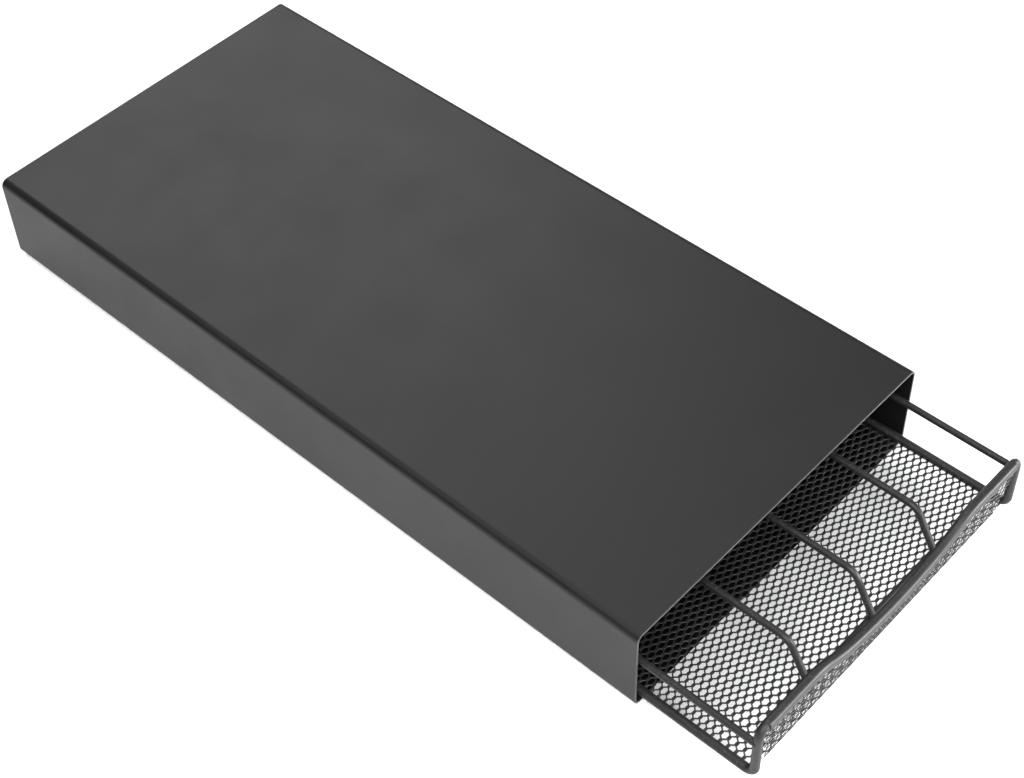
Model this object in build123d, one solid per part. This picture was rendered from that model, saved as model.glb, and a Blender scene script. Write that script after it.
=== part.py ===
from build123d import *
import math
import os

os.makedirs("parts", exist_ok=True)

# ---------------------------------------------------------------- driving dimensions, mm
# Frame: the drawer opens towards -Y, +X is right seen from the front, +Z is up. The origin
# is the middle of the cabinet's footprint on the surface that the feet stand on. Below,
# z is counted from the cabinet's own underside, and every piece is lifted by FOOT_T.

# cabinet
CAB_W = 223.5        # width over the side walls
CAB_L = 477.8        # depth, front edge to back
CAB_H = 57.0         # height of the sheet-metal body
SHEET = 1.0          # sheet thickness
BEND_R = 4.5         # outer radius of the four long edges
FLANGE_X = 95.5      # the cover's bottom flanges end this far from the middle
JOG_IN, JOG_OUT = 92.5, 94.3   # the base plate steps up over the flanges here
BASE_EDGE_X = 103.6  # half width of the base plate
BACK_FLANGE = 10.0   # depth of the back panel's turned-in flanges
FOOT_T, FOOT_D = 1.5, 14.0
FOOT_X, FOOT_Y = 80.0, 214.0

# drawer wires
FRAME_R = 2.4        # hoops and bottom rails, radius
RAIL_R = 1.9         # upper rails, radius
CROSS_R = 1.5        # wires across the ends and under the floor, radius
DIV_R = 1.9          # divider wires, radius
FRAME_X = 106.1      # hoop posts and bottom rails, from the middle
RAIL_Z = 6.84        # bottom rails' centre height
TOP_Z = 43.0         # hoops' top wire, centre height
HOOP_Y = -306.0      # front hoop's plane, drawer as shown: part open
REAR_Y = 164.4       # rear hoop's plane
BOT_BEND, TOP_BEND = 5.5, 6.0  # centre-line radii at the hoops' corners
HOOP_TAIL = 14.0     # length of each hoop's foot along the bottom rail

# finger dip in the front top wire: shoulder arc, flank arc, long middle arc
DIP_HALF = 68.0
DIP_R1, DIP_R2 = 34.0, 75.0
DIP_A1, DIP_A2 = math.radians(26.0), math.radians(10.0)

UP_X, UP_Z = 107.3, 33.9       # upper side rails
DIV_X = 52.7         # outer dividers from the middle
DIV_Z = 35.3         # dividers' level part
DIV_CORNER = 22.95   # the level part's corner, behind the hoop's plane
DIV_FOOT = 6.2       # the sloped leg's line passes this far behind the hoop at z 6.3
DIV_BEND = 8.0
CROSS_OFF = 10.1     # wires across the ends, behind the hoop's plane
CROSS_X = 64.0       # their half length: 11 mm past the outer dividers

MESH_X = 103.65      # half width of the mesh sheets
MESH_T = 0.8
FLOOR_Z = 6.5        # underside of the mesh floor
PANEL_T = 0.6
HEM_H_UP, HEM_H_DOWN = 0.4, 3.0  # hem strip above and below the top wire's centre

# hidden running gear
STRIP_X0, STRIP_X1 = 104.1, 108.0
STRIP_TOP = 4.1
STRIP_Y0, STRIP_Y1 = -228.0, 222.0
STOP_Y = -150.0      # the face that the rear posts meet
STOP_Z0, STOP_Z1 = 14.0, 30.0
STOP_IN = 104.4      # the stop reaches in to here

HW, HL = CAB_W / 2, CAB_L / 2
FLOOR_TOP = FLOOR_Z + MESH_T
CROSS_Z = FLOOR_TOP + CROSS_R


# ---------------------------------------------------------------- helpers
def save(shape, name):
    solids = [s for s in (Pos(0, 0, FOOT_T) * shape).solids()]
    out = solids[0] if len(solids) == 1 else Compound(children=solids)
    out.label = name
    export_step(out, "parts/%s.step" % name)
    print("%-20s %d solid(s) %10.1f mm3" % (name, len(solids), sum(s.volume for s in solids)))
    return out


def block(x0, x1, y0, y1, z0, z1):
    return Pos((x0 + x1) / 2, (y0 + y1) / 2, (z0 + z1) / 2) * Box(abs(x1 - x0), abs(y1 - y0), abs(z1 - z0))


def rod(p, q, r):
    p, q = Vector(*p), Vector(*q)
    return extrude(Plane(origin=p, z_dir=(q - p).normalized()) * Circle(r), amount=(q - p).length)


def bent(edges, r):
    path = Wire(edges)
    return sweep(Plane(origin=path @ 0, z_dir=path % 0) * Circle(r), path=path)


def arc(c, r, u, v, a0, a1):
    """Arc about c in the plane of the unit vectors u and v, angles in radians."""
    def at(a):
        return tuple(c[i] + r * (math.cos(a) * u[i] + math.sin(a) * v[i]) for i in range(3))
    return ThreePointArc(at(a0), at((a0 + a1) / 2), at(a1))


X, Y, Z = (1, 0, 0), (0, 1, 0), (0, 0, 1)
PI = math.pi


def extrude_x(points, x0, x1):
    """A closed outline of (y, z) points, drawn out along X."""
    face = Plane.YZ * make_face(Polyline(*points, close=True))
    return Pos(x0, 0, 0) * extrude(face, amount=x1 - x0, dir=(1, 0, 0))


def extrude_y(points, y0, y1):
    """A closed outline of (x, z) points, drawn out along Y."""
    face = Plane.XZ * make_face(Polyline(*points, close=True))
    return Pos(0, y0, 0) * extrude(face, amount=y1 - y0, dir=(0, 1, 0))


# ---------------------------------------------------------------- the dip's centre line
def dip_nodes():
    """Left half: (x, z) of the shoulder's start, its end, the flank's end, and the middle."""
    d0 = (-DIP_HALF, TOP_Z)
    d1 = (d0[0] + DIP_R1 * math.sin(DIP_A1), TOP_Z - DIP_R1 * (1 - math.cos(DIP_A1)))
    c2 = (d1[0] + DIP_R2 * math.sin(DIP_A1), d1[1] + DIP_R2 * math.cos(DIP_A1))
    d2 = (c2[0] - DIP_R2 * math.sin(DIP_A2), c2[1] - DIP_R2 * math.cos(DIP_A2))
    r3 = -d2[0] / math.sin(DIP_A2)
    c3 = (0.0, d2[1] + r3 * math.cos(DIP_A2))
    return d0, d1, c2, d2, r3, c3


def dip_edges(y, dz=0.0, sign=1):
    """The top wire's run over the dip, left to right, at depth y, shifted by dz."""
    d0, d1, c2, d2, r3, c3 = dip_nodes()
    left = [
        arc((d0[0], y, TOP_Z - DIP_R1 + dz), DIP_R1, X, Z, PI / 2, PI / 2 - DIP_A1),
        arc((c2[0], y, c2[1] + dz), DIP_R2, X, Z, -PI / 2 - DIP_A1, -PI / 2 - DIP_A2),
    ]
    mid = [arc((0, y, c3[1] + dz), r3, X, Z, -PI / 2 - DIP_A2, -PI / 2 + DIP_A2)]
    right = [
        arc((-c2[0], y, c2[1] + dz), DIP_R2, X, Z, -PI / 2 + DIP_A2, -PI / 2 + DIP_A1),
        arc((-d0[0], y, TOP_Z - DIP_R1 + dz), DIP_R1, X, Z, PI / 2 + DIP_A1, PI / 2),
    ]
    return left + mid + right


def under_curve(y, dz, half, z_low):
    """A face in the plane at y, below the dip line shifted by dz, down to z_low."""
    top = dip_edges(y, dz)
    zt = TOP_Z + dz
    edges = [Line((-half, y, zt), (-DIP_HALF, y, zt))] + top + [
        Line((DIP_HALF, y, zt), (half, y, zt)),
        Line((half, y, zt), (half, y, z_low)),
        Line((half, y, z_low), (-half, y, z_low)),
        Line((-half, y, z_low), (-half, y, zt)),
    ]
    return make_face(Wire(edges).edges())


# ---------------------------------------------------------------- cabinet
# cover: one sheet folded into top, two sides and two bottom flanges
centre = Pos(0, CAB_H / 2)
ring = centre * RectangleRounded(CAB_W, CAB_H, BEND_R) - centre * RectangleRounded(
    CAB_W - 2 * SHEET, CAB_H - 2 * SHEET, BEND_R - SHEET
)
ring -= Pos(0, 0) * Rectangle(2 * FLANGE_X, 4 * SHEET)
cover = extrude(Plane.XZ * ring, amount=HL, both=True)

# base plate: level with the cover's underside, its long edges stepped up over the flanges
half_profile = [
    (0, 0), (JOG_IN, 0), (JOG_OUT, SHEET), (BASE_EDGE_X, SHEET),
    (BASE_EDGE_X, 2 * SHEET), (JOG_OUT - 0.35, 2 * SHEET), (JOG_IN - 0.35, SHEET), (0, SHEET),
]
profile = half_profile[1:-1] + [(-x, z) for x, z in reversed(half_profile[1:-1])]
base_plate = extrude_y(profile, -HL, HL)

# back panel: a shallow tray inside the sleeve's rear end, its flanges turned forward
gap = 0.05
in_w, in_h = CAB_W - 2 * SHEET - 2 * gap, CAB_H - 2 * SHEET - 2 * gap
panel = Pos(0, CAB_H / 2) * RectangleRounded(in_w, in_h, BEND_R - SHEET - gap)
back = Pos(0, HL - SHEET, 0) * extrude(Plane.XZ * panel, amount=SHEET, dir=(0, 1, 0))
for s in (-1, 1):
    a, b = sorted((s * (JOG_IN - 0.8), s * HW))
    back -= block(a, b, HL - 2 * SHEET, HL + 1, 0, 2 * SHEET + gap)
yf0, yf1 = HL - SHEET - BACK_FLANGE, HL - SHEET
back += block(-HW + 8, HW - 8, yf0, yf1, CAB_H - 2 * SHEET - gap, CAB_H - SHEET - gap)
back += block(-JOG_IN + 2, JOG_IN - 2, yf0, yf1, SHEET + gap, 2 * SHEET + gap)
for s in (-1, 1):
    a, b = sorted((s * (HW - SHEET - gap), s * (HW - 2 * SHEET - gap)))
    back += block(a, b, yf0, yf1, 9, CAB_H - 8)

# runner strips: chamfered at both ends so that the rails run onto them
def strip(s):
    outline = [
        (STRIP_X0, SHEET), (STRIP_X1 - 1.2, SHEET), (STRIP_X1, SHEET + 0.7),
        (STRIP_X1, STRIP_TOP - 0.5), (STRIP_X1 - 0.5, STRIP_TOP), (STRIP_X0 + 0.5, STRIP_TOP),
        (STRIP_X0, STRIP_TOP - 0.5),
    ]
    # the strip rests on the base plate's flange and clears the bend beside it
    bar = extrude_y([(s * x, z) for x, z in outline], STRIP_Y0, STRIP_Y1)
    for y0, y1 in ((STRIP_Y0, STRIP_Y0 + 6), (STRIP_Y1, STRIP_Y1 - 6)):
        ramp = extrude_x([(y0, STRIP_TOP - 1.6), (y1, STRIP_TOP + 0.001), (y0, STRIP_TOP + 1)], -120, 120)
        bar -= ramp
    return bar


# stop brackets: a leaf on the side wall and a tab across the posts' path
def stop(s):
    wall = HW - SHEET
    leaf = (wall - 1.2, wall, STOP_Y + 1.2 - 13, STOP_Y)
    tab = (STOP_IN, wall, STOP_Y - 1.2, STOP_Y)
    out = None
    for x0, x1, y0, y1 in (leaf, tab):
        a, b = sorted((s * x0, s * x1))
        p = block(a, b, y0, y1, STOP_Z0, STOP_Z1)
        out = p if out is None else out + p
    return out


def foot(x, y):
    d = Pos(x, y, -FOOT_T) * Cylinder(FOOT_D / 2, FOOT_T, align=(Align.CENTER, Align.CENTER, Align.MIN))
    return fillet(d.edges().sort_by(Axis.Z)[0:1], 0.5)


# ---------------------------------------------------------------- drawer wires
def hoop(y, inward, dipped):
    """One bent wire: foot, bottom bend, post, top bend, top wire, and back down.
    inward is +1 where the feet point towards +Y."""
    x, zr = FRAME_X, RAIL_Z
    edges = []
    # left foot, bottom bend and post
    edges.append(Line((-x, y + inward * HOOP_TAIL, zr), (-x, y + inward * BOT_BEND, zr)))
    v = (0, -inward, 0)
    edges.append(arc((-x, y + inward * BOT_BEND, zr + BOT_BEND), BOT_BEND, v, Z, -PI / 2, 0))
    edges.append(Line((-x, y, zr + BOT_BEND), (-x, y, TOP_Z - TOP_BEND)))
    edges.append(arc((-x + TOP_BEND, y, TOP_Z - TOP_BEND), TOP_BEND, X, Z, PI, PI / 2))
    if dipped:
        edges.append(Line((-x + TOP_BEND, y, TOP_Z), (-DIP_HALF, y, TOP_Z)))
        edges += dip_edges(y)
        edges.append(Line((DIP_HALF, y, TOP_Z), (x - TOP_BEND, y, TOP_Z)))
    else:
        edges.append(Line((-x + TOP_BEND, y, TOP_Z), (x - TOP_BEND, y, TOP_Z)))
    edges.append(arc((x - TOP_BEND, y, TOP_Z - TOP_BEND), TOP_BEND, X, Z, PI / 2, 0))
    edges.append(Line((x, y, TOP_Z - TOP_BEND), (x, y, zr + BOT_BEND)))
    edges.append(arc((x, y + inward * BOT_BEND, zr + BOT_BEND), BOT_BEND, v, Z, 0, -PI / 2))
    edges.append(Line((x, y + inward * BOT_BEND, zr), (x, y + inward * HOOP_TAIL, zr)))
    return bent(edges, FRAME_R)


front_hoop = hoop(HOOP_Y, 1, True)
rear_hoop = hoop(REAR_Y, -1, False)


def lower_rail(s):
    return rod((s * FRAME_X, HOOP_Y + HOOP_TAIL, RAIL_Z), (s * FRAME_X, REAR_Y - HOOP_TAIL, RAIL_Z), FRAME_R)


def upper_rail(s):
    # ends coped to the round posts
    bar = rod((s * UP_X, HOOP_Y, UP_Z), (s * UP_X, REAR_Y, UP_Z), RAIL_R)
    for y in (HOOP_Y, REAR_Y):
        bar -= Pos(s * FRAME_X, y, UP_Z) * Cylinder(FRAME_R, 20)
    return max(bar.solids(), key=lambda q: q.volume)


def divider(x):
    """Level wire with a sloped leg at each end, the legs cut level on the mesh floor."""
    slope = math.atan2(DIV_Z - 6.3, DIV_CORNER - DIV_FOOT)
    t = DIV_BEND * math.tan(slope / 2)
    cy = HOOP_Y + DIV_CORNER          # corner before bending
    ry = REAR_Y - DIV_CORNER
    foot_y = HOOP_Y + DIV_FOOT - 3.0 / math.tan(slope)
    foot_z = 3.3
    rfoot_y = REAR_Y - DIV_FOOT + 3.0 / math.tan(slope)
    a = (x, foot_y, foot_z)
    b = (x, cy - t * math.cos(slope), DIV_Z - t * math.sin(slope))
    c = (x, cy + t, DIV_Z)
    d = (x, ry - t, DIV_Z)
    e = (x, ry + t * math.cos(slope), DIV_Z - t * math.sin(slope))
    f = (x, rfoot_y, foot_z)
    edges = [
        Line(a, b),
        arc((x, cy + t, DIV_Z - DIV_BEND), DIV_BEND, Y, Z, PI / 2 + slope, PI / 2),
        Line(c, d),
        arc((x, ry - t, DIV_Z - DIV_BEND), DIV_BEND, Y, Z, PI / 2, PI / 2 - slope),
        Line(e, f),
    ]
    w = bent(edges, DIV_R)
    w -= block(x - 5, x + 5, HOOP_Y - 10, REAR_Y + 10, -5, FLOOR_TOP)
    # each foot is let into the wire across the end that it is welded to
    for y in (HOOP_Y + CROSS_OFF, REAR_Y - CROSS_OFF):
        w -= rod((x - 5, y, CROSS_Z), (x + 5, y, CROSS_Z), CROSS_R)
    return max(w.solids(), key=lambda q: q.volume)


# wires across the ends, on the mesh, that join the dividers' feet and run a little past them


def end_cross(y):
    return rod((-CROSS_X, y, CROSS_Z), (CROSS_X, y, CROSS_Z), CROSS_R)


def floor_wire(y):
    return rod((-MESH_X, y, FLOOR_Z - CROSS_R), (MESH_X, y, FLOOR_Z - CROSS_R), CROSS_R)


# ---------------------------------------------------------------- mesh sheets and hems
PAN_BOTTOM = 1.7     # the end panels' foot is this far behind the hoop's plane
PAN_X0, PAN_X1 = 96.5, 102.9   # their half width at the foot and under the hem: slanted ends
FACE = FRAME_R + 0.02  # the panels' top lies on the outer side of the wire

floor_mesh = block(-MESH_X, MESH_X, HOOP_Y + PAN_BOTTOM - PANEL_T / 2, REAR_Y - PAN_BOTTOM + PANEL_T / 2, FLOOR_Z, FLOOR_TOP)


def panel_outline(y, out):
    """(y, z) outline of an end panel: leaning outwards, then upright before the top wire.
    out is -1 at the front."""
    y0 = y - out * PAN_BOTTOM - out * PANEL_T / 2   # inner face at the foot
    y1 = y + out * FACE                             # inner face at the top
    zk = 25.0
    inner = [(y0, FLOOR_TOP), (y1, zk), (y1, 60)]
    outer = [(y1 + out * PANEL_T, 60), (y1 + out * PANEL_T, zk), (y0 + out * PANEL_T, FLOOR_TOP)]
    return inner + outer


front_mesh_panel = extrude_x(panel_outline(HOOP_Y, -1), -MESH_X, MESH_X)
keep = extrude(under_curve(HOOP_Y - 12, -HEM_H_DOWN, MESH_X, 0), amount=20, dir=(0, 1, 0))
front_mesh_panel = front_mesh_panel & keep


def slant(s):
    """What the slanted end on side s takes off an end panel."""
    points = [(PAN_X0, -1), (PAN_X0, FLOOR_TOP), (PAN_X1, TOP_Z - HEM_H_DOWN), (PAN_X1, 60), (130, 60), (130, -1)]
    return extrude_y([(s * x, z) for x, z in points], HOOP_Y - 20, REAR_Y + 20)


for s in (-1, 1):
    front_mesh_panel -= slant(s)
rear_mesh_panel = extrude_x(panel_outline(REAR_Y, 1), -MESH_X, MESH_X)
rear_mesh_panel -= block(-150, 150, REAR_Y - 20, REAR_Y + 20, TOP_Z - HEM_H_DOWN, 80)
for s in (-1, 1):
    rear_mesh_panel -= slant(s)

# hems: flat folded strips on the outer side of the top wires
HEM_X = 103.0
yo = HOOP_Y - FACE - PANEL_T
front_hem = extrude(under_curve(yo, HEM_H_UP, HEM_X, 0), amount=PANEL_T, dir=(0, 1, 0))
front_hem -= extrude(under_curve(yo - 1, -HEM_H_DOWN, HEM_X + 5, -1), amount=PANEL_T + 2, dir=(0, 1, 0))
rear_hem = block(-HEM_X, HEM_X, REAR_Y + FACE, REAR_Y + FACE + PANEL_T, TOP_Z - HEM_H_DOWN, TOP_Z + HEM_H_UP)

# ---------------------------------------------------------------- write every piece
save(cover, "cabinet_cover")
save(base_plate, "base_plate")
save(back, "back_panel")
save(strip(-1), "runner_left")
save(strip(1), "runner_right")
save(stop(-1), "stop_tab_left")
save(stop(1), "stop_tab_right")
save(foot(-FOOT_X, -FOOT_Y), "foot_front_left")
save(foot(FOOT_X, -FOOT_Y), "foot_front_right")
save(foot(-FOOT_X, FOOT_Y), "foot_rear_left")
save(foot(FOOT_X, FOOT_Y), "foot_rear_right")

save(front_hoop, "front_hoop")
save(rear_hoop, "rear_hoop")
save(lower_rail(-1), "lower_rail_left")
save(lower_rail(1), "lower_rail_right")
save(upper_rail(-1), "upper_rail_left")
save(upper_rail(1), "upper_rail_right")
save(divider(-DIV_X), "divider_left")
save(divider(0), "divider_centre")
save(divider(DIV_X), "divider_right")
save(end_cross(HOOP_Y + CROSS_OFF), "front_cross_wire")
save(end_cross(REAR_Y - CROSS_OFF), "rear_cross_wire")
save(floor_wire(HOOP_Y + 115), "floor_wire_front")
save(floor_wire((HOOP_Y + REAR_Y) / 2), "floor_wire_middle")
save(floor_wire(REAR_Y - 115), "floor_wire_rear")
save(floor_mesh, "floor_mesh")
save(front_mesh_panel, "front_mesh_panel")
save(rear_mesh_panel, "rear_mesh_panel")
save(front_hem, "front_hem")
save(rear_hem, "rear_hem")
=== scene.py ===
import math

import bpy
import numpy as np
from mathutils import Matrix, Vector


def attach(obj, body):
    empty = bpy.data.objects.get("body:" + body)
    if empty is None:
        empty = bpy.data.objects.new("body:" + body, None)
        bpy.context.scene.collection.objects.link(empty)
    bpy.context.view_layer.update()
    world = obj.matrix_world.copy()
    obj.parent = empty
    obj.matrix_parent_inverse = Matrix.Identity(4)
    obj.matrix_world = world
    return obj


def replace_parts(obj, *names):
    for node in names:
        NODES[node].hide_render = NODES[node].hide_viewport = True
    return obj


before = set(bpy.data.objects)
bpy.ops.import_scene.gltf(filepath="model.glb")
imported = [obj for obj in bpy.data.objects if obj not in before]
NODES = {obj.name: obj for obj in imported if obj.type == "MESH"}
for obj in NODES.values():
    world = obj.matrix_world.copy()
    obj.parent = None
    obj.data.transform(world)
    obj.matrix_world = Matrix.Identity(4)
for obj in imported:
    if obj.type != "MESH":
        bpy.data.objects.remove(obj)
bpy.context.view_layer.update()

MM = 0.001
scene = bpy.context.scene

# ------------------------------------------------------------------ sizes shared with the CAD, mm
Z0 = 1.5                     # the feet lift the cabinet by this much
CAB_W, CAB_L, CAB_H = 223.5, 477.8, 57.0
HOOP_Y, REAR_Y = -306.0, 164.4
FRAME_R, FRAME_X = 2.4, 106.1
RAIL_Z, TOP_Z = 6.84 + Z0, 43.0 + Z0
UP_X, UP_Z, UP_R = 107.3, 33.9 + Z0, 1.9
DIP_HALF, DIP_R1, DIP_R2 = 68.0, 34.0, 75.0
DIP_A1, DIP_A2 = math.radians(26.0), math.radians(10.0)
MESH_X = 103.65
PAN_BOTTOM, PAN_X0, PAN_X1 = 1.4, 96.5, 102.9
FLOOR_LOW, FLOOR_TOP = 6.5 + Z0, 7.3 + Z0

# ------------------------------------------------------------------ helpers


def make_object(name, verts, faces, smooth=True):
    me = bpy.data.meshes.new(name)
    me.from_pydata((np.asarray(verts, float) * MM).tolist(), [], faces)
    me.validate()
    me.update()
    ob = bpy.data.objects.new(name, me)
    scene.collection.objects.link(ob)
    if smooth:
        me.polygons.foreach_set("use_smooth", [True] * len(me.polygons))
    return ob


def dip_curve(x):
    """Height of the front top wire's centre over x, and its slope, both in mm."""
    s = 1.0 if x >= 0 else -1.0
    x = abs(x)
    d1x = DIP_HALF - DIP_R1 * math.sin(DIP_A1)
    d1z = TOP_Z - DIP_R1 * (1 - math.cos(DIP_A1))
    c2x = d1x - DIP_R2 * math.sin(DIP_A1)
    c2z = d1z + DIP_R2 * math.cos(DIP_A1)
    d2x = c2x + DIP_R2 * math.sin(DIP_A2)
    d2z = c2z - DIP_R2 * math.cos(DIP_A2)
    r3 = d2x / math.sin(DIP_A2)
    c3z = d2z + r3 * math.cos(DIP_A2)
    if x >= DIP_HALF:
        return TOP_Z, 0.0
    if x >= d1x:
        u = DIP_HALF - x
        h = math.sqrt(DIP_R1 ** 2 - u * u)
        return TOP_Z - DIP_R1 + h, s * u / h
    if x >= d2x:
        u = x - c2x
        h = math.sqrt(DIP_R2 ** 2 - u * u)
        return c2z - h, s * u / h
    h = math.sqrt(r3 ** 2 - x * x)
    return c3z - h, s * x / h


DIP_XS = np.linspace(-110, 110, 881)
DIP_ZS = np.array([dip_curve(x)[0] for x in DIP_XS])


# ------------------------------------------------------------------ materials


def new_material(name):
    m = bpy.data.materials.new(name)
    m.use_nodes = True
    nt = m.node_tree
    for n in list(nt.nodes):
        nt.nodes.remove(n)
    out = nt.nodes.new("ShaderNodeOutputMaterial")
    bsdf = nt.nodes.new("ShaderNodeBsdfPrincipled")
    nt.links.new(bsdf.outputs[0], out.inputs[0])
    return m, nt, bsdf


def powder_coat(name, dark, light, rough, grain_mm, grain_depth, wave_depth, grain_specks_and_glints=0.0, rub_and_highlight=None, shine=0.5):
    """Satin powder coat: mottled colour, light specks at the grains that are partly grain tone and partly painted
    glints, fine grain and orange peel in the normal, roughness that varies over the surface, and a lighter band where
    asked that is partly worn coat and partly a painted highlight."""
    m, nt, b = new_material(name)
    N, L = nt.nodes.new, nt.links.new
    tc = N("ShaderNodeTexCoord")
    # broad mottling of the colour
    n1 = N("ShaderNodeTexNoise")
    n1.inputs["Scale"].default_value = 22.0
    n1.inputs["Detail"].default_value = 5.0
    n1.inputs["Roughness"].default_value = 0.62
    L(tc.outputs["Object"], n1.inputs["Vector"])
    # fine grains of the coat
    n2 = N("ShaderNodeTexNoise")
    n2.inputs["Scale"].default_value = 1000.0 / grain_mm
    n2.inputs["Detail"].default_value = 2.0
    L(tc.outputs["Object"], n2.inputs["Vector"])
    ramp = N("ShaderNodeValToRGB")
    ramp.color_ramp.elements[0].position = 0.3
    ramp.color_ramp.elements[1].position = 0.7
    ramp.color_ramp.elements[0].color = (*dark, 1)
    ramp.color_ramp.elements[1].color = (*light, 1)
    L(n1.outputs["Fac"], ramp.inputs["Fac"])
    col = ramp.outputs["Color"]
    # light specks at the fine grains: partly the coat's grain tone, partly painted glints that stand in for shine
    # varying with the grain
    if grain_specks_and_glints:
        mix = N("ShaderNodeMix")
        mix.data_type = "RGBA"
        mix.blend_type = "MIX"
        mr = N("ShaderNodeMapRange")
        mr.inputs["From Min"].default_value = 0.56
        mr.inputs["From Max"].default_value = 0.78
        mr.inputs["To Max"].default_value = grain_specks_and_glints
        L(n2.outputs["Fac"], mr.inputs["Value"])
        L(mr.outputs["Result"], mix.inputs[0])
        L(col, mix.inputs[6])
        mix.inputs[7].default_value = tuple(min(1.0, 6.0 * c) for c in light) + (1,)
        col = mix.outputs[2]
    # a lighter band along an edge: partly worn coat, partly a painted highlight
    if rub_and_highlight is not None:
        col = rub_and_highlight(nt, tc, col)
    L(col, b.inputs["Base Color"])
    # roughness varies with the mottling and the grains
    r1 = N("ShaderNodeMapRange")
    r1.inputs["From Min"].default_value = 0.3
    r1.inputs["From Max"].default_value = 0.7
    r1.inputs["To Min"].default_value = rough[0]
    r1.inputs["To Max"].default_value = rough[1]
    L(n1.outputs["Fac"], r1.inputs["Value"])
    r2 = N("ShaderNodeMath")
    r2.operation = "MULTIPLY_ADD"
    L(n2.outputs["Fac"], r2.inputs[0])
    r2.inputs[1].default_value = 0.10
    L(r1.outputs["Result"], r2.inputs[2])
    r3 = N("ShaderNodeMath")
    r3.operation = "SUBTRACT"
    L(r2.outputs[0], r3.inputs[0])
    r3.inputs[1].default_value = 0.05
    L(r3.outputs[0], b.inputs["Roughness"])
    # orange peel, a few millimetres across, under the grain
    n3 = N("ShaderNodeTexNoise")
    n3.inputs["Scale"].default_value = 320.0
    n3.inputs["Detail"].default_value = 1.5
    L(tc.outputs["Object"], n3.inputs["Vector"])
    bump1 = N("ShaderNodeBump")
    bump1.inputs["Strength"].default_value = 1.0
    bump1.inputs["Distance"].default_value = wave_depth * MM
    L(n3.outputs["Fac"], bump1.inputs["Height"])
    bump2 = N("ShaderNodeBump")
    bump2.inputs["Strength"].default_value = 1.0
    bump2.inputs["Distance"].default_value = grain_depth * MM
    L(n2.outputs["Fac"], bump2.inputs["Height"])
    L(bump1.outputs["Normal"], bump2.inputs["Normal"])
    L(bump2.outputs["Normal"], b.inputs["Normal"])
    b.inputs["Specular IOR Level"].default_value = shine
    return m


def edge_rub_and_highlight(axis, at, width, strength, colour):
    """A lighter band along the edge where the object's axis is near at, broken by noise: partly a rub of worn coat,
    partly a painted highlight of the bright line on the sheared edge.
    """
    def build(nt, tc, col):
        N, L = nt.nodes.new, nt.links.new
        sep = N("ShaderNodeSeparateXYZ")
        L(tc.outputs["Object"], sep.inputs[0])
        d = N("ShaderNodeMath")
        d.operation = "SUBTRACT"
        L(sep.outputs[axis], d.inputs[0])
        d.inputs[1].default_value = at * MM
        a = N("ShaderNodeMath")
        a.operation = "ABSOLUTE"
        L(d.outputs[0], a.inputs[0])
        noise = N("ShaderNodeTexNoise")
        noise.inputs["Scale"].default_value = 260.0
        noise.inputs["Detail"].default_value = 4.0
        L(tc.outputs["Object"], noise.inputs["Vector"])
        lim = N("ShaderNodeMath")
        lim.operation = "MULTIPLY"
        L(noise.outputs["Fac"], lim.inputs[0])
        lim.inputs[1].default_value = 2.0 * width * MM
        mr = N("ShaderNodeMapRange")
        L(a.outputs[0], mr.inputs["Value"])
        mr.inputs["From Min"].default_value = 0.0
        L(lim.outputs[0], mr.inputs["From Max"])
        mr.inputs["To Min"].default_value = strength
        mr.inputs["To Max"].default_value = 0.0
        mix = N("ShaderNodeMix")
        mix.data_type = "RGBA"
        L(mr.outputs["Result"], mix.inputs[0])
        L(col, mix.inputs[6])
        mix.inputs[7].default_value = (*colour, 1)
        return mix.outputs[2]
    return build


SHINE = 0.32
# the cover's front edge gets a lighter band: partly worn coat, partly a painted highlight of the bright line along the
# sheared edge
COAT_CAB = powder_coat(
    "coat_cabinet", (0.0033, 0.0033, 0.0034), (0.0050, 0.0050, 0.0050), (0.40, 0.47), 0.55, 0.006, 0.012,
    grain_specks_and_glints=0.12, rub_and_highlight=edge_rub_and_highlight(1, -CAB_L / 2, 0.5, 0.55, (0.09, 0.09, 0.088)), shine=SHINE,
)
# a darker copy of the cabinet coat for the parts inside the cabinet: painted shade, so the base plate reads black
# through the mesh
COAT_INNER_SHADED = powder_coat(
    "coat_inner_painted_shade", (0.0012, 0.0012, 0.0012), (0.0020, 0.0020, 0.0020), (0.50, 0.58), 0.55, 0.006, 0.012,
    grain_specks_and_glints=0.08, shine=0.12,
)
# on the wires the light specks run at full strength: partly grain tone, partly painted glints
COAT_WIRE = powder_coat(
    "coat_wire", (0.0036, 0.0036, 0.0038), (0.0060, 0.0060, 0.0062), (0.46, 0.56), 1.3, 0.090, 0.030, grain_specks_and_glints=1.0, shine=0.42,
)
# the mesh takes a lighter copy of the drawer's coat than the wires: painted light, for the light the bright floor
# throws up onto the strands
COAT_MESH_LIT = powder_coat(
    "coat_mesh_painted_light", (0.0060, 0.0060, 0.0062), (0.0100, 0.0100, 0.0102), (0.38, 0.48), 0.6, 0.014, 0.006, grain_specks_and_glints=0.28, shine=0.39,
)
# the hem, the mesh's folded edge, takes the same kind of lighter copy of the coat: painted light
COAT_HEM_LIT = powder_coat(
    "coat_hem_painted_light", (0.0060, 0.0060, 0.0063), (0.0110, 0.0110, 0.0113), (0.44, 0.54), 0.8, 0.030, 0.020, grain_specks_and_glints=0.30, shine=0.40,
)
PLASTIC = powder_coat(
    "runner_plastic", (0.0060, 0.0060, 0.0060), (0.0095, 0.0095, 0.0095), (0.50, 0.60), 0.8, 0.004, 0.006, shine=0.35,
)
RUBBER = powder_coat(
    "foot_rubber", (0.012, 0.012, 0.012), (0.020, 0.020, 0.020), (0.78, 0.90), 0.3, 0.012, 0.010, shine=0.3,
)


def set_material(ob, mat):
    ob.data.materials.clear()
    ob.data.materials.append(mat)


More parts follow.
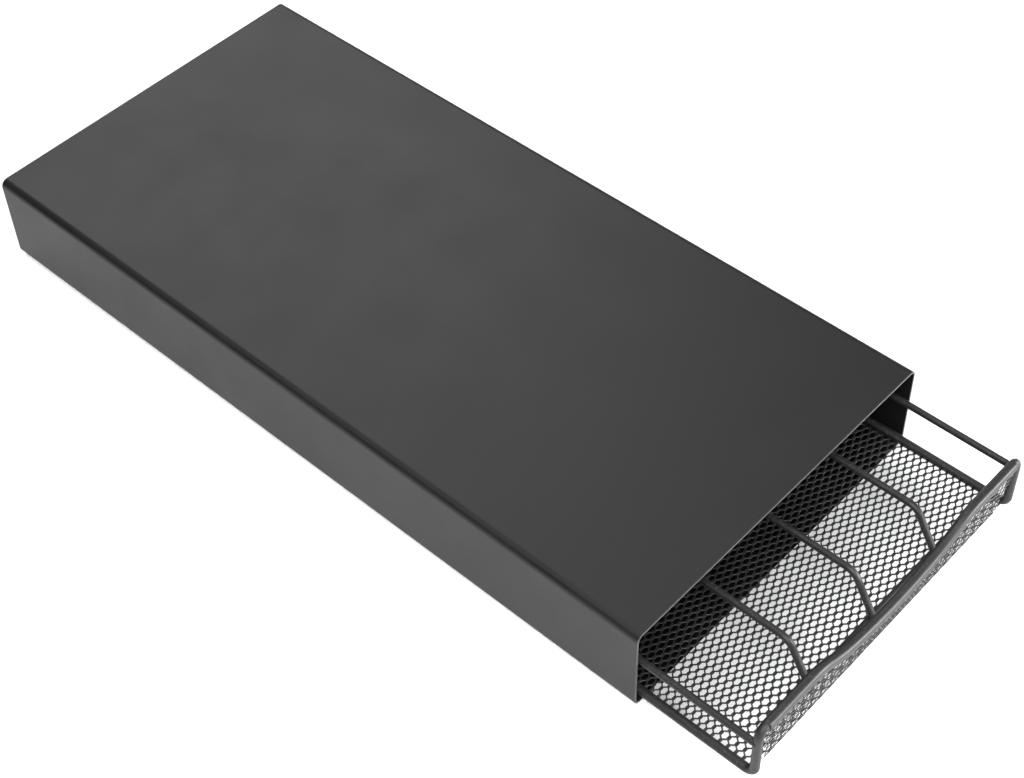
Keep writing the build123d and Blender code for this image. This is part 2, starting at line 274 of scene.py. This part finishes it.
# ------------------------------------------------------------------ expanded metal
# One sheet, slit and drawn out, folded up at both ends. Each ribbon of metal between two rows
# of holes runs in zigzag along X and is joined to its neighbours at the bonds. The ribbons lean
# like louvres, as the dies leave them. V runs along the sheet: 0 at the front fold, negative
# over the floor towards the rear, positive up the front end.
ROW = 2.02
BOND, STRAND = 2.8, 0.73
THICK, LEAN = 0.46, math.radians(-9)
PITCH_0, PITCH_1, PHASE_X = 8.08, 0.0033, 1.0   # the cells widen towards the right
SKEW_1, SKEW_2, PHASE_V, PHASE_FOLD = 0.0166, -0.0000733, -0.45, 0.2   # the rows lie slightly off square
FLOOR_MID = (FLOOR_LOW + FLOOR_TOP) / 2
FOLD_R = 0.8
Y_FOLD, Y_REARFOLD = HOOP_Y + PAN_BOTTOM + FOLD_R, REAR_Y - PAN_BOTTOM - FOLD_R
FLOOR_LEN = Y_REARFOLD - Y_FOLD
PANEL_OUT = 1.85


def bond_x(tau):
    """Middle of the bond number tau, counted in half cells from the middle of the sheet."""
    return PITCH_0 / PITCH_1 * (math.exp(PITCH_1 * (tau + PHASE_X) / 2) - 1)


def sheet_v(x, v):
    """The rows are square to the sheet at the front fold and lean away from it over the floor."""
    a = np.clip(-v / 26.0, 0, 1)
    return v + PHASE_FOLD + (PHASE_V - PHASE_FOLD + SKEW_1 * x + SKEW_2 * x * x) * a * a * (3 - 2 * a)


def panel_turn(x, y_fold, y_hoop, out, z_top):
    foot = y_fold + out * FOLD_R
    top = y_hoop + out * PANEL_OUT
    return math.pi / 2 - np.arctan(np.abs(top - foot) / (z_top - 4.0 - FLOOR_MID))


def sheet_place(x, v, n):
    """Points of the flat sheet, put in space, with the height n above its middle."""
    V = sheet_v(x, v)
    front = panel_turn(x, Y_FOLD, HOOP_Y, -1, np.interp(x, DIP_XS, DIP_ZS))
    rear = panel_turn(x, Y_REARFOLD, REAR_Y, 1, np.full_like(x, TOP_Z))
    y = Y_FOLD - V
    z = FLOOR_MID + n
    for out, y_fold, over, turn in ((-1, Y_FOLD, V, front), (1, Y_REARFOLD, -FLOOR_LEN - V, rear)):
        a = np.clip(over / FOLD_R, 0, turn)
        rest = np.maximum(over - FOLD_R * turn, 0)
        yb = y_fold + out * ((FOLD_R - n) * np.sin(a) + rest * np.cos(a))
        zb = FLOOR_MID + FOLD_R - (FOLD_R - n) * np.cos(a) + rest * np.sin(a)
        y = np.where(over > 0, yb, y)
        z = np.where(over > 0, zb, z)
    return x, y, z


def sheet_keep(x, v):
    """Where there is metal: under the hems, and inside the slanted ends of the upright parts."""
    _, y, z = sheet_place(x, v, np.zeros_like(x))
    V = sheet_v(x, v)
    half = PAN_X0 + (PAN_X1 - PAN_X0) * (z - FLOOR_TOP) / 31.3
    up_front, up_rear = V > 0.3, V < -FLOOR_LEN - 0.3
    top = np.where(up_front, np.interp(x, DIP_XS, DIP_ZS), TOP_Z) - 1.5
    upright = up_front | up_rear
    return ~upright | ((z < top) & (np.abs(x) < half))


def expanded(name, k0, k1, fine=True):
    """The ribbons k0 to k1 - 1, each ROW wide, as real strands."""
    rows, row, w = k1 - k0, ROW, STRAND
    us = (0.30, 0.70) if fine else (0.5,)
    # columns along a ribbon, and for even and odd ribbons the middle line and its normal
    col_x, col_flat, pts = [], [], ([], [])
    for h in range(-27, 28):
        xa, xb = bond_x(h), bond_x(h + 1)
        a, b = xa + BOND / 2, xb - BOND / 2
        for kind, x in (("flat", xa - BOND / 2), ("flat", xa + BOND / 2)) + tuple((u, a + (b - a) * u) for u in us):
            col_x.append(x)
            col_flat.append(kind == "flat")
            for p in (0, 1):
                is_low = (h + p) % 2 == 0
                y0, y1 = (w / 2, row - w / 2) if is_low else (row - w / 2, w / 2)
                if kind == "flat":
                    pts[p].append((y0, 0.0, 1.0, is_low))
                else:
                    u = kind
                    s = 0.45 * u + 0.55 * u * u * (3 - 2 * u)
                    k = (y1 - y0) * (0.45 + 3.3 * u * (1 - u)) / (b - a)
                    q = math.hypot(1, k)
                    pts[p].append((y0 + (y1 - y0) * s, -k / q, 1 / q, is_low))
    col_x, col_flat = np.array(col_x), np.array(col_flat)
    inside = np.abs(col_x) < MESH_X - 0.15
    i0, i1 = np.nonzero(inside)[0][[0, -1]]
    xs = np.concatenate([[-MESH_X], col_x[i0:i1 + 1], [MESH_X]])
    flat = np.concatenate([[col_flat[i0 - 1] and col_flat[i0]], col_flat[i0:i1 + 1], [col_flat[i1] and col_flat[i1 + 1]]])
    C, NX, NV, LOW = [], [], [], []
    for p in (0, 1):
        d = np.array([q[:3] for q in pts[p]])
        lo = np.array([q[3] for q in pts[p]])
        C.append(np.interp(xs, col_x, d[:, 0]))
        NX.append(np.interp(xs, col_x, d[:, 1]))
        NV.append(np.interp(xs, col_x, d[:, 2]))
        LOW.append(np.concatenate([[lo[i0 - 1]], lo[i0:i1 + 1], [lo[i1]]]))
    nc = len(xs)
    t2, te = THICK / 2, THICK * 0.36
    sec = [(-w / 2, te), (0.0, t2), (w / 2, te), (w / 2, -te), (0.0, -t2), (-w / 2, -te)]
    ns = len(sec)
    ks = np.arange(k0, k1)
    par = ks % 2
    Ck = np.stack([C[p] for p in par])
    NXk, NVk = np.stack([NX[p] for p in par]), np.stack([NV[p] for p in par])
    rel = (Ck - row / 2) / (row / 2 - w / 2)
    # the two ribbons that meet at the front fold lie flat on it
    tl = np.where(np.abs(ks + 0.5) < 1, 0.0, math.tan(LEAN))[:, None]
    cn = -rel * (w / 2) * tl
    P = np.zeros((rows, nc, ns, 3))
    for i, (a, off) in enumerate(sec):
        P[:, :, i, 0] = xs[None, :] + NXk * a
        P[:, :, i, 1] = Ck + NVk * a + ks[:, None] * row
        P[:, :, i, 2] = cn + a * tl + off
    P[:, 0, :, 0], P[:, -1, :, 0] = -MESH_X, MESH_X
    P = P.reshape(-1, 3)
    P = np.stack(sheet_place(P[:, 0], P[:, 1], P[:, 2]), 1)
    mid_x = np.broadcast_to(((xs[:-1] + xs[1:]) / 2)[None, :], (rows, nc - 1))
    mid_v = (Ck[:, :-1] + Ck[:, 1:]) / 2 + ks[:, None] * row
    kept = sheet_keep(mid_x.ravel(), mid_v.ravel()).reshape(rows, nc - 1)
    base = (np.arange(rows)[:, None] * nc + np.arange(nc)[None, :]) * ns
    remap = np.arange(len(P))
    quads, caps = [], []
    for r in range(rows):
        low = LOW[par[r]]
        seg_flat = flat[:-1] & flat[1:]
        on = kept[r]
        below = seg_flat & low[:-1] & (kept[r - 1] if r else False)
        above = seg_flat & ~low[:-1] & (kept[r + 1] if r < rows - 1 else False)
        A, B = base[r, :-1], base[r, 1:]
        for i in range(ns):
            j = (i + 1) % ns
            m = on & ~above if i == 2 else on & ~below if i == 5 else on
            quads.append(np.stack([A[m] + j, B[m] + j, B[m] + i, A[m] + i], 1))
        edge = np.concatenate([[False], on, [False]])
        for c in np.nonzero(edge[1:] & ~edge[:-1])[0]:
            caps.append([int(base[r, c]) + i for i in reversed(range(ns))])
        for c in np.nonzero(edge[:-1] & ~edge[1:])[0]:
            caps.append([int(base[r, c]) + i for i in range(ns)])
        # a bond's two ribbons share their edge points
        if r < rows - 1:
            c = np.nonzero(~low & flat)[0]
            remap[base[r, c] + 2] = base[r + 1, c]
            remap[base[r, c] + 3] = base[r + 1, c] + 5
    quads = remap[np.concatenate(quads)]
    caps = [[int(remap[i]) for i in f] for f in caps]
    used = np.zeros(len(P), bool)
    used[quads.ravel()] = True
    for f in caps:
        used[f] = True
    new = np.cumsum(used) - 1
    faces = [tuple(q) for q in new[quads].tolist()] + [tuple(int(new[i]) for i in f) for f in caps]
    ob = make_object(name, P[used], faces)
    set_material(ob, COAT_MESH_LIT)
    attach(ob, "drawer")
    return ob


K_REAR = -int(FLOOR_LEN / ROW) - 1
K_A, K_B = -56, -142
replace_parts(expanded("expanded_front", 0, 20), "front_mesh_panel")
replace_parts(expanded("expanded_floor_front", K_A, 0), "floor_mesh")
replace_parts(expanded("expanded_floor_middle", K_B, K_A, fine=False), "floor_mesh")
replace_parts(expanded("expanded_floor_rear", K_REAR, K_B, fine=False), "floor_mesh")
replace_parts(expanded("expanded_rear", K_REAR - 20, K_REAR, fine=False), "rear_mesh_panel")


# ------------------------------------------------------------------ hems
def hem(name, y_hoop, out, height, slope_of, x_half, drop=2.5):
    """A strip folded round the outer side of the top wire. Its rolled lower edge hangs down
    over the mesh."""
    ri, ro = FRAME_R + 0.03, FRAME_R + 0.50
    rm, rr = (ri + ro) / 2, (ro - ri) / 2
    prof = []
    for i in range(11):                     # outer face, thin at its lip, round the wire
        a = math.radians(68 * (1 - i / 10))
        r = ri + 0.05 + (ro - ri - 0.05) * min(1.0, i / 5)
        prof.append((r * math.sin(a), r * math.cos(a)))
    prof.append((-drop * 0.35, ro))
    prof.append((-drop * 0.7, ro))
    for i in range(7):                      # rolled lower edge
        a = math.radians(180 * i / 6)
        prof.append((-drop + rr - rr * math.sin(a), rm + rr * math.cos(a)))
    prof.append((-drop * 0.5, ri))
    for i in range(11):                     # inner face, back up the wire
        a = math.radians(68 * i / 10)
        prof.append((ri * math.sin(a), ri * math.cos(a)))
    prof.reverse()
    n = len(prof)
    xs = [-x_half + 2 * x_half * i / 200 for i in range(201)]
    verts, faces = [], []
    for x in xs:
        z, sl = height(x), slope_of(x)
        c, s = 1 / math.hypot(1, sl), sl / math.hypot(1, sl)
        wav = 0.05 * math.sin(x * 0.21) + 0.04 * math.sin(x * 0.093 + 1.0)
        for a, b in prof:
            verts.append((x - s * a, y_hoop + out * (b + 0.25 * wav * (-a / drop)), z + c * a + (wav if a < -1 else 0)))
    for i in range(len(xs) - 1):
        for j in range(n):
            a, b2 = i * n + j, i * n + (j + 1) % n
            c2, d2 = (i + 1) * n + (j + 1) % n, (i + 1) * n + j
            faces.append((a, d2, c2, b2) if out < 0 else (a, b2, c2, d2))
    faces.append(tuple(range(n)) if out < 0 else tuple(reversed(range(n))))
    last = (len(xs) - 1) * n
    faces.append(tuple(reversed(range(last, last + n))) if out < 0 else tuple(range(last, last + n)))
    ob = make_object(name, verts, faces)
    set_material(ob, COAT_HEM_LIT)
    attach(ob, "drawer")
    return ob


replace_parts(hem("hem_front", HOOP_Y, -1, lambda x: dip_curve(x)[0], lambda x: dip_curve(x)[1], 101.5), "front_hem")
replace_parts(hem("hem_rear", REAR_Y, 1, lambda x: TOP_Z, lambda x: 0.0, 101.5), "rear_hem")

# ------------------------------------------------------------------ materials on the CAD pieces
for name, ob in NODES.items():
    if name.startswith("foot"):
        set_material(ob, RUBBER)
    elif name.startswith("runner"):
        set_material(ob, PLASTIC)
    elif name == "cabinet_cover":
        set_material(ob, COAT_CAB)
    # the base plate, back panel and stops take the darker copy of the coat: painted shade
    elif name in ("base_plate", "back_panel") or name.startswith("stop"):
        set_material(ob, COAT_INNER_SHADED)
    else:
        set_material(ob, COAT_WIRE)

# ------------------------------------------------------------------ floor, light, camera


def light(name, loc, target, size, power, size_y=None):
    d = bpy.data.lights.new(name, "AREA")
    d.shape = "RECTANGLE"
    d.size = size
    d.size_y = size_y or size
    d.energy = power
    o = bpy.data.objects.new(name, d)
    scene.collection.objects.link(o)
    o.location = loc
    o.rotation_mode = "QUATERNION"
    o.rotation_quaternion = (Vector(target) - Vector(loc)).to_track_quat("-Z", "Y")
    return o


stage_me = bpy.data.meshes.new("stage_floor")
S = 4.0
stage_me.from_pydata([(-S, -S, 0), (S, -S, 0), (S, S, 0), (-S, S, 0)], [], [(0, 1, 2, 3)])
stage_floor = bpy.data.objects.new("stage_floor", stage_me)
scene.collection.objects.link(stage_floor)
sm, snt, sb = new_material("stage_pale")
sb.inputs["Base Color"].default_value = (0.86, 0.86, 0.86, 1)
sb.inputs["Roughness"].default_value = 0.9
sb.inputs["Specular IOR Level"].default_value = 0.1
stage_me.materials.append(sm)

world = bpy.data.worlds.new("studio")
scene.world = world
world.use_nodes = True
bg = world.node_tree.nodes["Background"]
bg.inputs[0].default_value = (1, 1, 1, 1)
bg.inputs[1].default_value = 0.003

# a big soft box by the camera, a low one at the front right that gives the wires their bright
# side, a dim one beyond the back for the sheen on the top, and weak cards that even them out
LIGHTS = [
    ("main_soft", (-1.10, -1.10, 1.85), (0, -0.05, 0), 1.4, 88, 1.4),
    ("front_right_low", (1.35, -2.15, 0.42), (0, -0.30, 0.02), 2.0, 200, 0.8),
    ("back_soft", (1.20, 1.90, 1.95), (0, 0, 0), 1.8, 36, 1.8),
    ("left_card", (-2.20, 0.45, 0.30), (0, 0, 0.03), 1.6, 1.5, 0.5),
    ("right_back_card", (1.5, 0.5, 1.6), (0, 0, 0), 1.2, 3.0, 1.2),
    ("over_soft", (0.2, 0.1, 2.3), (0, 0, 0), 1.6, 16, 1.6),
    ("front_left_low", (-1.0, -2.2, 0.8), (0, -0.1, 0), 1.4, 12, 0.8),
    ("left_back_soft", (-1.02, 0.76, 1.67), (0.03, -0.27, 0.04), 1.0, 0.42, 1.0),
]
for nm, loc, tgt, sx, power, sy in LIGHTS:
    light(nm, loc, tgt, sx, power, sy)
# the one behind on the left has a grid, so that it reaches the drawer and little else
bpy.data.lights["left_back_soft"].spread = math.radians(30)

scene.view_settings.view_transform = "Standard"
scene.view_settings.look = "None"

H = CAB_H * MM
az, el, roll = (math.radians(v) for v in (-45.2927, 47.7669, -2.6340))
back = Vector((math.sin(az) * math.cos(el), -math.cos(az) * math.cos(el), math.sin(el)))
xc = Vector((0, 0, 1)).cross(back).normalized()
yc = back.cross(xc)
x2 = xc * math.cos(roll) + yc * math.sin(roll)
y2 = -xc * math.sin(roll) + yc * math.cos(roll)
cam_d = bpy.data.cameras.new("camera")
cam_d.sensor_width = 36.0
cam_d.lens = 1925.4666 * 36.0 / 1024.0
cam_d.shift_x = (512.0 - 492.4888) / 1024.0
cam_d.shift_y = (373.4962 - 389.0) / 1024.0
cam_d.clip_start, cam_d.clip_end = 0.05, 50.0
cam = bpy.data.objects.new("camera", cam_d)
scene.collection.objects.link(cam)
m = Matrix((x2, y2, back)).transposed().to_4x4()
m.translation = Vector((-8.9791 * H, -9.6316 * H, 13.9799 * H + Z0 * MM))
cam.matrix_world = m
scene.camera = cam
